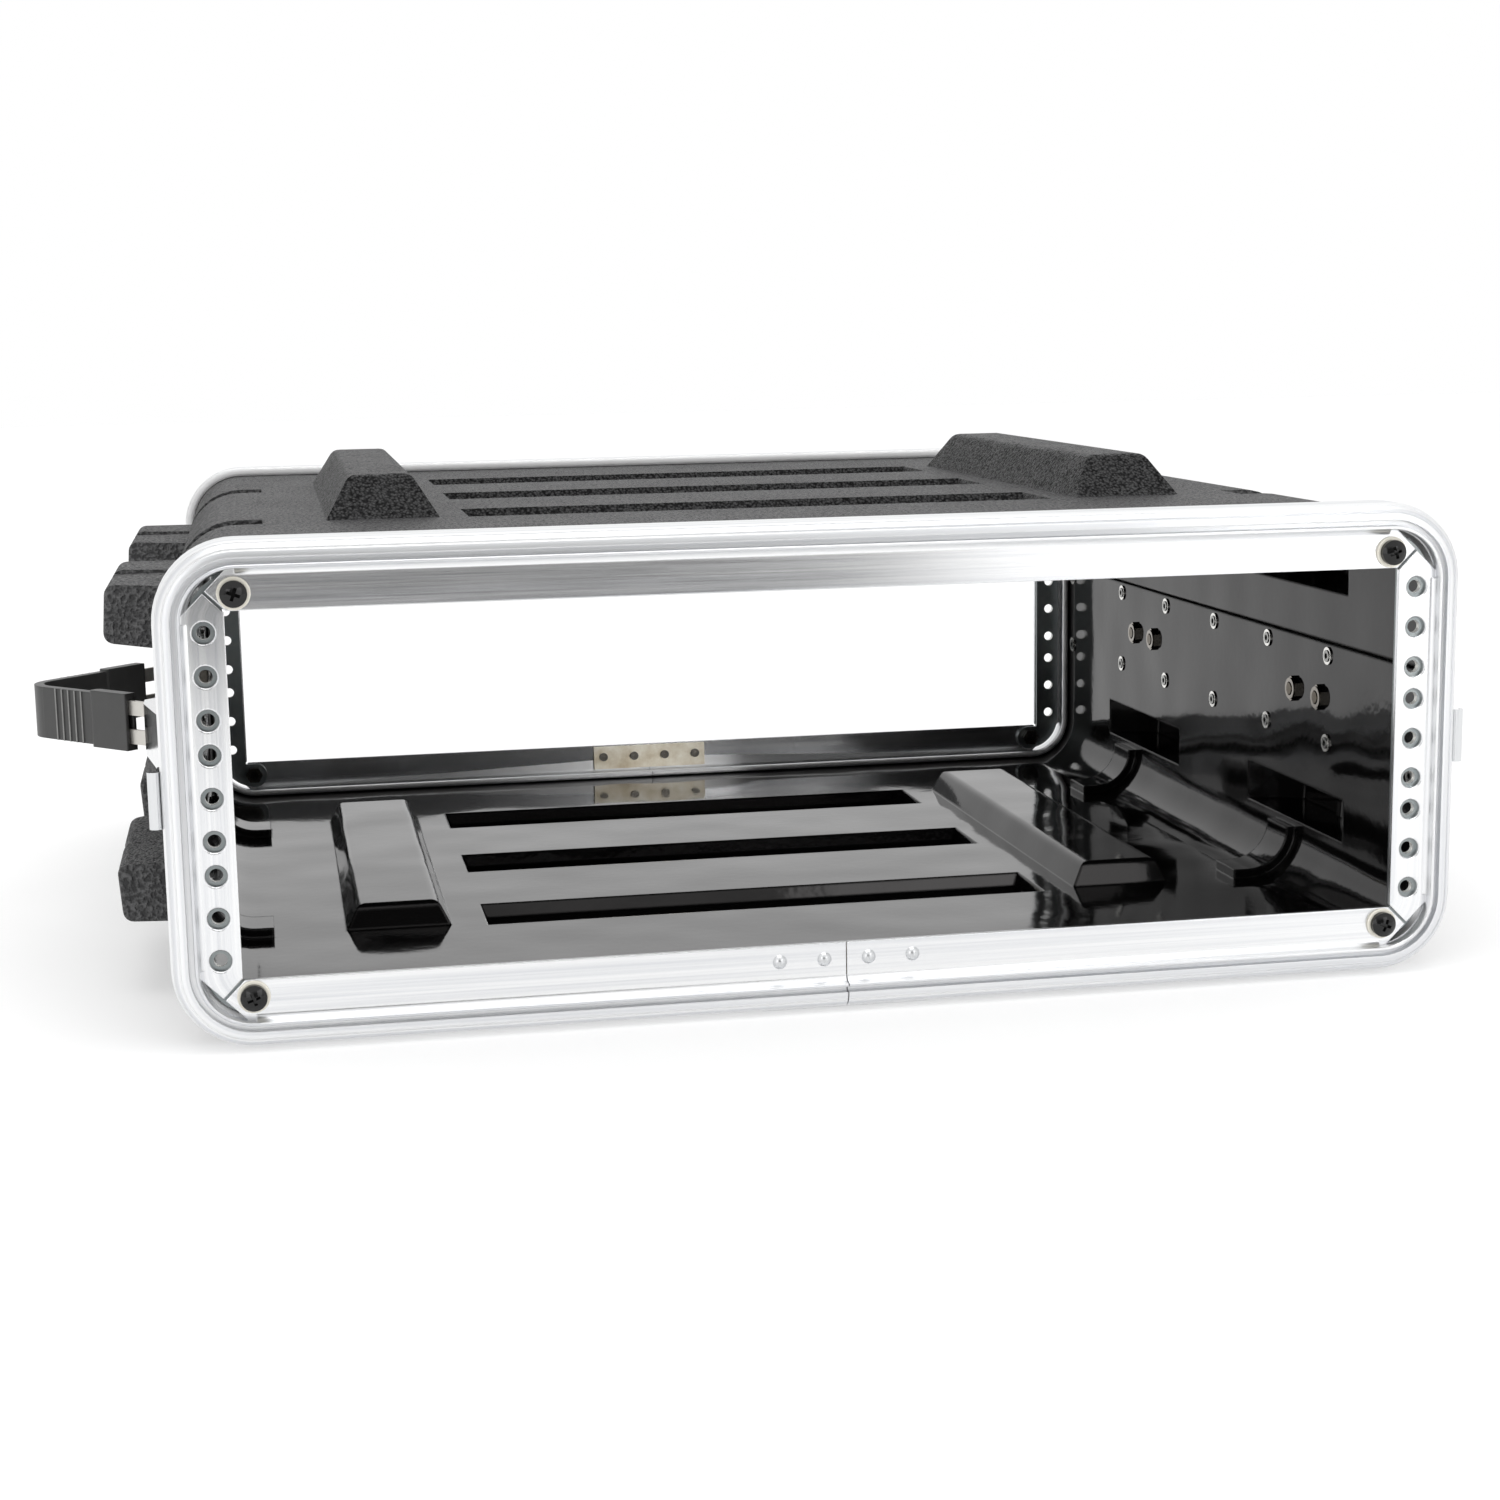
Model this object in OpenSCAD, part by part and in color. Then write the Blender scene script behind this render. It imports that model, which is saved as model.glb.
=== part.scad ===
// Shallow rack case: two plastic shells held between two aluminium frames,
// with rack rails behind the flanges and a strap handle on each side.
// Millimetres. X runs across, Y from the front to the rear, Z up from the ground.

/* [Rack bay] */

// Number of rack units in the bay
rack_units = 3; // [2:1:6]
// Width of the opening between the side flanges
opening_w = 450; // [447:0.5:454]
// Height of the opening beyond the rack units
opening_spare = 2.65; // [1:0.05:6]
// Distance of the rack holes from the opening edge
hole_in = 7.55; // [7:0.05:8]
// Outer face of the front flange to outer face of the rear flange
case_depth = 474; // [430:1:620]

/* [Frame extrusion] */

// Thickness of the flange
flange_t = 2; // [1.6:0.1:2.4]
// Opening edge to the ridge in the lip
flange_w = 15.4; // [15.2:0.1:17]
// Thickness of the ridge
ridge_t = 1.4; // [1:0.1:2]
// Height of the ridge over the flange
ridge_h = 4.2; // [3.6:0.1:5]
// Radius of the cove between the flange and the ridge
cove_r = 3; // [2:0.1:3]
// Width of the groove that takes the tongue of a cover
groove_w = 2.2; // [1.6:0.1:3]
// Height of the groove floor over the flange
groove_floor = 0.6; // [0.2:0.1:1]
// Radius of the outer shoulder
shoulder_r = 6.6; // [6:0.1:7.4]
// Height of the shoulder over the flange
shoulder_h = 3.4; // [2.8:0.1:3.8]
// Radius of the two fine lines along the shoulder
line_r = 0.35; // [0.2:0.05:0.5]
// Outer radius of the frame corners
corner_r = 30; // [28:0.5:34]
// Thickness between the lip and the slot for the shells
web_t = 2.6; // [2.4:0.1:3]
// Reach of the outer leg over the shells
leg_len = 14; // [12:0.5:18]
// Thickness of the outer leg
leg_t = 4.3; // [3.5:0.1:4.6]
// Reach of the inner leg with its bead
bead_len = 13; // [10:0.5:17]
// Thickness of the inner leg
inner_leg_t = 2; // [1.6:0.1:2.4]
// Diameter of the bead on the inner leg
bead_d = 3.4; // [2.8:0.1:3.6]
// Width of the open crescent in each flange corner
crescent_w = 3.8; // [2:0.1:4]
// Gap between the flange ends at each corner
mitre_gap = 1; // [0.6:0.1:2]
// Place of the butt joint along the bottom run
joint_x = 2; // [-30:1:30]
// Gap of the butt joint
joint_gap = 0.4; // [0.3:0.1:1]

/* [Shells] */

// Wall thickness of both shells
wall = 3.6; // [3:0.1:4]
// Clearance of a shell edge on each side of the frame slot
edge_fit = 0.3; // [0.2:0.05:0.4]
// Clearance between the shell edge and the bottom of the slot
edge_gap = 0.4; // [0.2:0.1:1]
// Top edge of the lower shell over the middle of the bay
seam_h = 24.5; // [23.5:0.5:26]
// Gap in the seam between the shells
seam_gap = 1.2; // [0.6:0.1:1.6]
// Reach of the outer flap below the middle of the bay
flap_drop = 26; // [24:0.5:30]
// Clearance between the flap and the lower shell
flap_fit = 0.2; // [0.1:0.05:0.4]
// Gap between the flap and the frame leg
flap_gap = 0.5; // [0.3:0.1:2]
// Height of the step where the upper shell widens into the flap
jog_h = 4; // [3:0.5:6]

/* [Stacking] */

// Offset of the stacking features behind the middle of the case
stack_shift = 23; // [0:1:26]
// Distance of each top bump from the middle of the case
bump_x = 161; // [158:0.5:170]
// Length of a bump at its root
bump_len = 250; // [200:1:260]
// Width of a bump at its root
bump_w = 46.5; // [42:0.5:48]
// Height of a bump
bump_h = 17.5; // [14:0.5:18]
// Run of the sloping bump sides
bump_taper = 10.5; // [9:0.5:12]
// Run of the sloping bump ends
bump_end_taper = 16; // [12:0.5:20]
// Edge radius of the bump top
bump_r = 5; // [4.5:0.1:6]
// Clearance around a bump in the recess of a case above it
stack_clear = 2.2; // [2:0.1:3.5]
// Run of the sloping recess sides
recess_taper = 5.2; // [4:0.1:6]
// Run of the sloping recess ends
recess_end_taper = 3; // [2:0.1:4]
// Length of the floor ribs across the case
rib_len = 252; // [200:1:254]
// Width of a floor rib
rib_w = 44; // [36:0.5:50]
// Distance from rib to rib
rib_pitch = 106; // [96:1:110]
// Height of a floor rib under the shell
rib_drop = 6; // [5.8:0.1:7]
// Run of the sloping rib sides
rib_taper = 2.5; // [2:0.1:3]
// Edge radius of a rib
rib_r = 4.4; // [4.2:0.1:4.8]
// Depth of the grooves in the top
groove_d = 4.5; // [4.2:0.1:6]
// Radius in the bottom edges of the grooves and recesses
groove_r = 0.5; // [0.4:0.1:0.6]

/* [Side blocks] */

// Distance between the front and rear blocks
block_pitch = 198; // [190:1:206]
// Length of a block at its root
block_len = 112; // [100:1:118]
// Height of a block at its root
block_h = 25; // [23:0.5:27]
// Reach of a block beyond the side wall
block_out = 26.5; // [22:0.5:30]
// Run of the sloping block ends
block_taper_y = 7; // [5:0.5:9]
// Run of the sloping block top and bottom
block_taper_z = 1.2; // [1:0.1:2]
// Turn of the blocks away from the middle of the bay
block_turn = 4; // [0:0.5:4]
// Edge radius of a block face
block_r = 4.2; // [4.1:0.1:4.6]
// Middle of the upper blocks over the middle of the bay
upper_block_z = 57; // [54:0.5:58]
// Middle of the lower blocks under the middle of the bay
lower_block_z = 51; // [48:0.5:54]
// Width of the flute in the face of a block
block_flute_w = 18; // [14:0.5:22]
// Depth of the flute in the face of a block
block_flute_d = 2.6; // [2:0.1:3]
// Width of the flutes across the upper shell corners
flute_w = 24; // [16:0.5:30]
// Depth of the flutes across the upper shell corners
flute_d = 3; // [2:0.1:3.5]
// Reach of an upper flute over the top
flute_reach = 36; // [32:0.5:40]
// Width of the flutes across the lower shell corners
foot_flute_w = 15; // [12:0.5:18]
// Depth of the flutes across the lower shell corners
foot_flute_d = 4.2; // [3:0.1:4.5]
// Reach of a lower flute under the floor
foot_flute_reach = 29; // [26:0.5:32]
// Reach of a lower flute up the side wall
foot_flute_rise = 22.5; // [20:0.5:24]
// Offset of the lower flutes behind the middle of the case
foot_flute_shift = 15; // [0:1:20]

/* [Rack rails] */

// Thickness of a rail
rail_t = 2.5; // [2:0.1:4]
// Opening edge to the near edge of a rail
rail_in = 0.6; // [0.2:0.1:1]
// Clearance between a rail and the frame bead
rail_fit = 0.5; // [0.3:0.1:1]
// Reach of the rail tabs into the opening width
tab_reach = 10.5; // [9.5:0.1:16]
// Clearance holes in the flange
flange_hole_d = 8; // [7:0.1:9]
// Chamfer around the clearance holes
hole_chamfer = 0.4; // [0.2:0.1:0.6]
// Tapped holes in a rail
rail_hole_d = 5; // [4.2:0.1:5.6]

/* [Corner screws] */

// Distance of a corner screw inside the opening side
screw_in = 3.7; // [3:0.1:5]
// Distance of a corner screw outside the opening top or bottom
screw_up = 6.3; // [6.2:0.1:6.5]
// Shank diameter
screw_d = 4.8; // [4:0.1:4.8]
// Clearance around a shank
screw_fit = 0.3; // [0.2:0.05:0.4]
// Head diameter
screw_head_d = 9.8; // [8.6:0.1:11]
// Head height
screw_head_h = 3.9; // [3.5:0.1:4.2]
// Rise of the crown in a head
screw_crown = 1.7; // [1.2:0.1:2]
// Depth of the cross recess
recess_d = 2; // [1.4:0.1:2.2]
// Width of the slots in the cross recess
slot_w = 1.2; // [1:0.1:1.4]
// Washer diameter
washer_d = 12.2; // [11:0.1:12.2]
// Washer thickness
washer_t = 1.2; // [0.8:0.1:1.6]
// Width across the flats of a nut
nut_af = 8; // [7.5:0.1:9]
// Height of a nut
nut_h = 4; // [3:0.1:5]
// Clearance around a thread
thread_fit = 0.1; // [0.05:0.05:0.2]
// Length of thread that stands out of a nut
thread_out = 1.2; // [0.5:0.1:3]

/* [Frame joint] */

// Length of the splice plate
splice_len = 63; // [60:1:80]
// Thickness of the splice plate
splice_t = 1.5; // [1:0.1:2.5]
// Distance between the splice rivets
splice_pitch = 17.4; // [15:0.1:18]
// Head diameter of a splice rivet
splice_head_d = 5.6; // [5:0.1:6.5]
// Head height of a splice rivet
splice_head_h = 1.6; // [1.2:0.1:2]
// Shank diameter of a splice rivet
splice_rivet_d = 3.2; // [2.8:0.1:3.6]
// Diameter of the set end of a splice rivet
splice_tail_d = 4.6; // [4.4:0.1:5]
// Height of the set end of a splice rivet
splice_tail_h = 1.1; // [0.9:0.1:1.4]
// Diameter of the hollow in the set end
splice_hollow_d = 3.4; // [3:0.1:3.6]
// Depth of the hollow in the set end
splice_hollow_h = 0.7; // [0.5:0.1:0.8]
// Diameter of the stub in the hollow
splice_stub_d = 1.2; // [1:0.1:1.6]
// Length of the strip under the joint
strip_len = 65; // [50:1:90]
// Thickness of the strip under the joint
strip_t = 0.6; // [0.4:0.1:0.8]

/* [Shell rivets] */

// Distance of each rivet row from the middle of the bay
rivet_row = 19.2; // [18.8:0.1:19.5]
// Distance between the inner rivets
rivet_pitch = 66.7; // [64:0.1:68]
// Distance of the end rivets from the flap ends
rivet_end = 5.8; // [5:0.1:8]
// Shank diameter
rivet_d = 4; // [3.2:0.1:4.4]
// Outer head diameter
rivet_head_d = 6.6; // [6:0.1:7]
// Outer head height
rivet_head_h = 1.5; // [1.2:0.1:2]
// Diameter of the washer inside the case
rivet_washer_d = 7.8; // [7:0.1:8]
// Thickness of the washer inside the case
rivet_washer_t = 0.7; // [0.5:0.1:1]
// Diameter of the set end
rivet_tail_d = 5.2; // [4.8:0.1:5.4]
// Height of the set end
rivet_tail_h = 0.4; // [0.3:0.1:0.8]
// Diameter of the hollow in the set end
rivet_bore_d = 2.6; // [2:0.1:2.8]
// Depth of the hollow in the set end
rivet_bore_h = 2.5; // [2:0.5:4]
// Clearance around a rivet
rivet_fit = 0.15; // [0.1:0.05:0.25]

/* [Handles] */

// Offset of the handles, the left one to the rear and the right one to the front
handle_shift = 7; // [0:0.5:10]
// Distance between the stud pairs of a handle
bolt_span = 210; // [206:1:220]
// Distance between the two studs of a bracket
bolt_pitch = 28; // [26:0.5:30]
// Bracket end to the last stud
bracket_tail = 17; // [14:0.5:20]
// Width of a bracket
bracket_w = 26; // [25:0.5:28]
// Height of a bracket at its low end
bracket_low = 2.6; // [2.2:0.1:3.5]
// Height of a bracket at its raised end
bracket_rise = 13.5; // [13:0.1:15]
// Length of the level part at the raised end
bracket_flat = 12; // [11.6:0.1:14]
// Inward slope of the bracket sides
bracket_draft = 2; // [1:0.1:3]
// Thickness of the bracket over its mouth
bracket_skin = 1.5; // [1.2:0.1:2]
// Clearance between a link and the edge of the mouth
mouth_gap = 0.5; // [0.4:0.1:1]
// Diameter of a handle stud
bolt_d = 6; // [5:0.1:6]
// Depth of a stud in its bracket
stud_in = 3.4; // [2.5:0.1:3.6]
// Length of thread that stands out of a handle nut
stud_out = 0.3; // [0.2:0.1:1]
// Chamfer at the end of a stud
stud_chamfer = 0.4; // [0.2:0.1:0.6]
// Width across the flats of a handle nut
lock_nut_af = 10; // [9.6:0.1:11]
// Height of the six-sided part of a handle nut
lock_nut_h = 2; // [1.8:0.1:3]
// Height of the collar on a handle nut
lock_collar_h = 0.6; // [0.5:0.1:1.5]
// Distance between the ends of a grip
grip_span = 101; // [96:1:106]
// Height of the grip ends over the flap
grip_lift = 20.2; // [19:0.1:21]
// Rise of the strap from the grip ends to its bend
grip_reach = 42; // [40:0.5:46]
// Radius of the bend in the middle of the strap
bend_r = 14; // [10:0.5:18]
// Thickness of the strap
strap_t = 4.3; // [4:0.1:5]
// Width of the strap
strap_w = 23; // [22:0.5:25]
// Length of the boots at the grip ends
boot_len = 24; // [20:0.5:28]
// Thickness of the boots
boot_t = 5.6; // [5.2:0.1:6.5]
// Width of the boots
boot_w = 25; // [24:0.1:27]
// Radius at the inner ends of the boots
boot_r = 2; // [1.5:0.1:2.5]
// Width of the raised lines on the strap
ridge_line_w = 0.9; // [0.6:0.1:1.4]
// Height of the raised lines on the strap
ridge_line_h = 0.5; // [0.3:0.1:0.9]
// Distance between the raised lines
line_pitch = 4.3; // [4:0.1:4.6]
// Thickness of a steel link
link_t = 1.8; // [1.4:0.1:2]
// Width of a steel link
link_w = 19; // [17:0.5:19.5]
// Width of the window in a steel link
link_window = 6.2; // [5:0.1:8]
// Height of a link in its bracket over the flap
link_rise = 8.2; // [7.8:0.1:8.6]
// Length of a link in its bracket
link_in = 10; // [8:0.5:10.5]
// Clearance around a link
link_fit = 0.3; // [0.2:0.05:0.5]

/* [Latch keepers] */

// Height of a keeper
keeper_h = 21; // [18:0.5:30]
// Thickness of the keeper plate
keeper_t = 1.2; // [1:0.1:1.5]
// Outer radius of the keeper curl
curl_r = 2.3; // [2:0.1:2.6]
// Distance between the two rivets of a keeper
keeper_pitch = 12; // [10:0.5:13]
// Head diameter of a keeper rivet
keeper_head_d = 4.4; // [4:0.1:4.8]
// Head height of a keeper rivet
keeper_head_h = 1.2; // [0.8:0.1:1.6]
// Shank diameter of a keeper rivet
keeper_rivet_d = 3; // [2.4:0.1:3.2]

/* [Hidden] */

$fn = 48;

// Depth of a rounding below its tangent lines, which leaves clean edges
tangent_in = 0.05;

// The short edges of a drafted form are rounded tighter than the long ones
end_share = 0.7;

// Reach of a cut beyond the face that it opens
through = 1;

// Overlap of an upper flute with the block under it
flute_lap = 1;

// Angles of the two fine lines around the shoulder
line_angles = [36, 62];

// The cove circle sinks a little into the flange, which leaves a clean edge
cove_share = 0.97;

// Distance of the strips and keepers from the edge of the outer leg
leg_edge = 1;

// Metal left behind a keeper rivet
keeper_skin = 0.8;

// Turn of the cross recess in a screw head
recess_turn = 20;

// Step from the flats of a handle nut to its collar
collar_in = 0.2;

// Number of the raised lines on each strap arm, and their start along it
line_count = 5;
line_start = 0.52;

// Reach of the link window into the boot
window_in = 4;

// One rack unit and the three hole heights in it
unit_h = 44.45;
unit_holes = [6.35, 22.225, 38.1];

// Half sizes of the opening
opening_h = rack_units * unit_h + opening_spare;
half_w = opening_w / 2;
half_h = opening_h / 2;

// Distance between the left and right columns of rack holes
hole_pitch = opening_w + 2 * hole_in;

// Distances outward from the opening edge through the frame section
frame_out = flange_w + ridge_t + groove_w + shoulder_r;
slot_out = frame_out - leg_t;
shell_out = slot_out - edge_fit;
shell_in = shell_out - wall;
slot_in = shell_in - edge_fit;
rail_out = slot_in - bead_d - rail_fit;
shoulder_v = shoulder_h - shoulder_r;

// Centre of the frame corner and the straight cut across the flange corner
centre_x = half_w + frame_out - corner_r;
centre_y = half_h + frame_out - corner_r;
chord_d = corner_r - frame_out + flange_w - crescent_w;

// Main planes of the case
axis_z = half_h + shell_out + rib_drop;
top_z = axis_z + half_h + shell_out;
floor_z = axis_z - half_h - shell_out;
face_y = case_depth / 2;
side_x = half_w + shell_out;
inner_x = half_w + shell_in;
flap_x = side_x + flap_fit + wall;
shell_len = case_depth - 2 * (web_t + edge_gap);
flap_len = case_depth - 2 * (leg_len + flap_gap);
grip_depth = flap_x - inner_x;

// Recess in the floor that takes the bump of a case below
stack_gap = 2 * (frame_out - shell_out);
recess_w = bump_w - 2 * bump_taper / bump_h * stack_gap + 2 * stack_clear;
recess_l = bump_len - 2 * bump_end_taper / bump_h * stack_gap + 2 * stack_clear;
recess_h = bump_h - stack_gap + stack_clear;

// Rounded ends of the rail tabs
tab_r = (rail_out - rail_in) / 2;
tab_x = half_w - tab_reach + tab_r;

// Corner screws
screw_x = half_w - screw_in;
screw_y = half_h + screw_up;
screw_hole_d = screw_d + 2 * screw_fit;

// Strap line: straight arms that run tangent into the bend
bend_x = grip_lift + grip_reach - bend_r;
arm_d = sqrt(pow(grip_reach - bend_r, 2) + pow(grip_span / 2, 2));
arm_a = atan2(grip_reach - bend_r, grip_span / 2) + asin(bend_r / arm_d);
arm_len = sqrt(arm_d * arm_d - bend_r * bend_r);

// Handle bracket and the bend of the link in its mouth
link_bend = (grip_lift - link_rise) / sin(arm_a);
link_bend_y = grip_span / 2 + link_bend * cos(arm_a);
link_side = link_t / (2 * cos(arm_a));
mouth_low = link_rise - link_t / 2 - mouth_gap;
mouth_top = bracket_rise - bracket_skin;
bracket_end = link_bend_y - (mouth_top - mouth_gap - link_rise - link_side) / tan(arm_a);
bracket_tip = bolt_span / 2 + bolt_pitch / 2 + bracket_tail;
link_end_y = bracket_end + link_in;

// Whole length of a handle stud
stud_len = stud_in + grip_depth + lock_nut_h + lock_collar_h + stud_out;

// Round bottom of the flute in a block
block_flute_r = (pow(block_flute_w / 2, 2) + pow(block_flute_d, 2)) / (2 * block_flute_d);

// Places of the flutes along the case, and their edges on the side walls
flute_ys = [-block_pitch / 2, block_pitch / 2];
foot_flute_ys = [foot_flute_shift - rib_pitch, foot_flute_shift + rib_pitch];
flute_z = upper_block_z + block_h / 2 - flute_lap;
foot_flute_z = half_h + shell_out - foot_flute_rise;

// Rivet places along the case
rivet_end_y = flap_len / 2 - rivet_end;
rivet_ys = [
    -rivet_end_y, -2 * rivet_pitch, -rivet_pitch, 0,
    rivet_pitch, 2 * rivet_pitch, rivet_end_y
];

// Plastic, aluminium and steel shades for the preview
plastic = [0.16, 0.16, 0.17];
rubber = [0.08, 0.08, 0.08];
aluminium = [0.82, 0.83, 0.84];
zinc = [0.66, 0.70, 0.71];
nickel = [0.78, 0.76, 0.71];
nylon = [0.88, 0.85, 0.76];
chrome = [0.88, 0.89, 0.90];
black_steel = [0.10, 0.10, 0.11];

// Sideways move of a drafted face that keeps the wall thickness
function skin(run, d) = wall * (sqrt(run * run + d * d) - run) / d;

// Height of rack hole number i from the middle of the bay
function hole_at(i) = (floor(i / 3) - rack_units / 2) * unit_h + unit_holes[i % 3];

// Copies to all four corners of a plane
module four_corners() {
    children();
    mirror([1, 0, 0])
        children();
    mirror([0, 1, 0])
        children();
    mirror([1, 0, 0])
        mirror([0, 1, 0])
            children();
}

// Copies to both sides of the case
module both_sides() {
    children();
    mirror([1, 0, 0])
        children();
}

// Stands a piece drawn in the plane of the flange at the front of the case
module at_front() {
    translate([0, -face_y, axis_z])
        rotate([90, 0, 0])
            children();
}

// The same turned round to the rear of the case
module at_rear() {
    rotate([0, 0, 180])
        at_front()
            children();
}

// Extrudes a cross-section of the case along its depth
module along(len) {
    translate([0, 0, axis_z])
        rotate([90, 0, 0])
            linear_extrude(len, center = true)
                children();
}

// Outline of the case at a distance outside the opening edge
module outline(u) {
    x = half_w + u;
    y = half_h + u;
    polygon([
        [centre_x, -y], [x, -centre_y], [x, centre_y], [centre_x, y],
        [-centre_x, y], [-x, centre_y], [-x, -centre_y], [-centre_x, -y]
    ]);
    four_corners()
        translate([centre_x, centre_y])
            circle(corner_r - frame_out + u);
}

// Drafted face with rounded corners at its narrow end
module drafted(a, run, d, r) {
    side = sqrt(run * run + d * d);
    edge = a - run - r * (side - run) / d;
    foot = [edge + r * d / side, d - r + r * run / side];
    base = a + run / d * wall / 2;
    polygon([
        [-base, -wall / 2], [base, -wall / 2], foot,
        [edge, d], [-edge, d], [-foot[0], foot[1]]
    ]);
    translate([edge, d - r])
        circle(r - tangent_in);
    translate([-edge, d - r])
        circle(r - tangent_in);
}

// Drafted form that stands on the XY plane
module pan(size, d, run, r) {
    intersection() {
        rotate([90, 0, 0])
            linear_extrude(size[1] + 2 * wall, center = true)
                drafted(size[0] / 2, run[0], d, r);
        rotate([90, 0, 90])
            linear_extrude(size[0] + 2 * wall, center = true)
                drafted(size[1] / 2, run[1], d, end_share * r);
    }
}

// The same form one wall inside, moved below the XY plane
module pan_inside(size, d, run, r) {
    translate([0, 0, -wall])
        pan(
            [size[0] - 2 * skin(run[0], d), size[1] - 2 * skin(run[1], d)],
            d, run, r - wall
        );
}

// The same form one wall outside, moved above the XY plane
module pan_outside(size, d, run, r) {
    translate([0, 0, wall])
        pan(
            [size[0] + 2 * skin(run[0], d), size[1] + 2 * skin(run[1], d)],
            d, run, r + wall
        );
}

// Section of the frame lip, measured outward and forward from the opening edge
module lip_profile() {
    difference() {
        union() {
            translate([flange_w, -web_t])
                square([slot_out - flange_w, web_t + groove_floor]);
            translate([flange_w, -web_t])
                square([ridge_t, web_t + ridge_h - ridge_t / 2]);
            translate([flange_w + ridge_t / 2, ridge_h - ridge_t / 2])
                circle(d = ridge_t);
            intersection() {
                translate([frame_out - shoulder_r, shoulder_v])
                    circle(shoulder_r);
                translate([frame_out - shoulder_r, shoulder_v])
                    square(shoulder_r);
            }
            translate([slot_out, -leg_len])
                square([leg_t, leg_len + shoulder_v]);
            translate([slot_in - inner_leg_t, bead_d / 2 - bead_len])
                square([inner_leg_t, bead_len - bead_d / 2 - flange_t / 2]);
            translate([slot_in - bead_d / 2, bead_d / 2 - bead_len])
                circle(d = bead_d);
        }
        translate([slot_in, -leg_len - through])
            square([slot_out - slot_in, leg_len + through - web_t]);
        for (a = line_angles)
            translate([frame_out - shoulder_r, shoulder_v])
                rotate(a)
                    translate([shoulder_r, 0])
                        circle(line_r);
    }
}

// Section of the cove in front of the ridge
module cove_profile() {
    difference() {
        translate([flange_w - cove_r, -flange_t / 2])
            square([cove_r + ridge_t / 2, cove_r + flange_t / 2]);
        translate([flange_w - cove_r, cove_share * cove_r])
            circle(cove_r);
    }
}

// Straight runs of a section along the four sides of the opening
module runs() {
    both_sides()
        translate([half_w, 0, 0])
            rotate([90, 0, 0])
                linear_extrude(2 * centre_y, center = true)
                    children();
    for (a = [90, -90])
        rotate([0, 0, a])
            translate([half_h, 0, 0])
                rotate([90, 0, 0])
                    linear_extrude(2 * centre_x, center = true)
                        children();
}

// Flat part of the frame around the opening
module flange() {
    translate([0, 0, -flange_t])
        linear_extrude(flange_t)
            difference() {
                outline(flange_w + ridge_t / 2);
                square([opening_w, opening_h], center = true);
                four_corners()
                    translate([centre_x, centre_y])
                        rotate(45)
                            translate([chord_d, -corner_r])
                                square(2 * corner_r);
                four_corners()
                    translate([half_w, half_h])
                        rotate(45)
                            translate([-through, -mitre_gap / 2])
                                square([corner_r, mitre_gap]);
                both_sides()
                    rack_holes()
                        circle(d = flange_hole_d);
                four_corners()
                    translate([screw_x, screw_y])
                        circle(d = screw_hole_d);
                splice_places()
                    circle(d = splice_rivet_d + 2 * rivet_fit);
            }
}

// Places of one column of rack holes on the right
module rack_holes() {
    for (i = [0 : 3 * rack_units - 1])
        translate([hole_pitch / 2, hole_at(i)])
            children();
}

// Places of the four rivets in a frame joint
module splice_places() {
    for (i = [-1.5 : 1 : 1.5])
        translate([joint_x + i * splice_pitch, -screw_y])
            children();
}

// Places of the two rivets of the right keeper, seen from the side
module keeper_places() {
    for (sy = [-1, 1])
        translate([half_w + frame_out, sy * keeper_pitch / 2, (shoulder_v - curl_r - leg_len) / 2])
            rotate([0, 90, 0])
                children();
}

// One frame, bent from an extrusion, in the plane of its flange
module frame() {
    difference() {
        union() {
            flange();
            runs()
                cove_profile();
            runs()
                lip_profile();
            four_corners()
                translate([centre_x, centre_y, 0])
                    rotate_extrude(angle = 90)
                        translate([corner_r - frame_out, 0])
                            lip_profile();
        }
        translate([joint_x - joint_gap / 2, -half_h - frame_out - through, -leg_len - through])
            cube([joint_gap, frame_out + 2 * through, leg_len + ridge_h + 2 * through]);
        both_sides()
            keeper_places()
                translate([0, 0, keeper_skin - leg_t])
                    cylinder(d = keeper_rivet_d + 2 * rivet_fit, h = leg_t);
        both_sides()
            rack_holes()
                translate([0, 0, -hole_chamfer])
                    cylinder(
                        d1 = flange_hole_d, d2 = flange_hole_d + 2 * (hole_chamfer + through),
                        h = hole_chamfer + through
                    );
    }
}

module front_frame() {
    color(aluminium)
        at_front()
            frame();
}

module rear_frame() {
    color(aluminium)
        at_rear()
            frame();
}

// Plate behind the flange that joins the frame ends
module splice_plate() {
    translate([0, 0, -flange_t - splice_t])
        linear_extrude(splice_t)
            difference() {
                translate([joint_x - splice_len / 2, -half_h - rail_out])
                    square([splice_len, rail_out - rail_in]);
                splice_places()
                    circle(d = splice_rivet_d + 2 * rivet_fit);
            }
}

module front_splice_plate() {
    color(nickel)
        at_front()
            splice_plate();
}

module rear_splice_plate() {
    color(nickel)
        at_rear()
            splice_plate();
}

// Domed head on the XY plane
module dome(d, h) {
    big_r = (d * d / 4 + h * h) / (2 * h);
    rotate_extrude()
        intersection() {
            translate([0, h - big_r])
                circle(big_r);
            square([d, h]);
        }
}

// Rivets through the flange and the splice plate
module splice_rivets() {
    splice_places() {
        dome(splice_head_d, splice_head_h);
        translate([0, 0, -flange_t - splice_t])
            cylinder(d = splice_rivet_d, h = flange_t + splice_t);
        translate([0, 0, -flange_t - splice_t - splice_tail_h]) {
            difference() {
                cylinder(d = splice_tail_d, h = splice_tail_h);
                translate([0, 0, -through])
                    cylinder(d = splice_hollow_d, h = splice_hollow_h + through);
            }
            cylinder(d = splice_stub_d, h = splice_tail_h);
        }
    }
}

module front_splice_rivets() {
    color(aluminium)
        at_front()
            splice_rivets();
}

module rear_splice_rivets() {
    color(aluminium)
        at_rear()
            splice_rivets();
}

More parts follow.
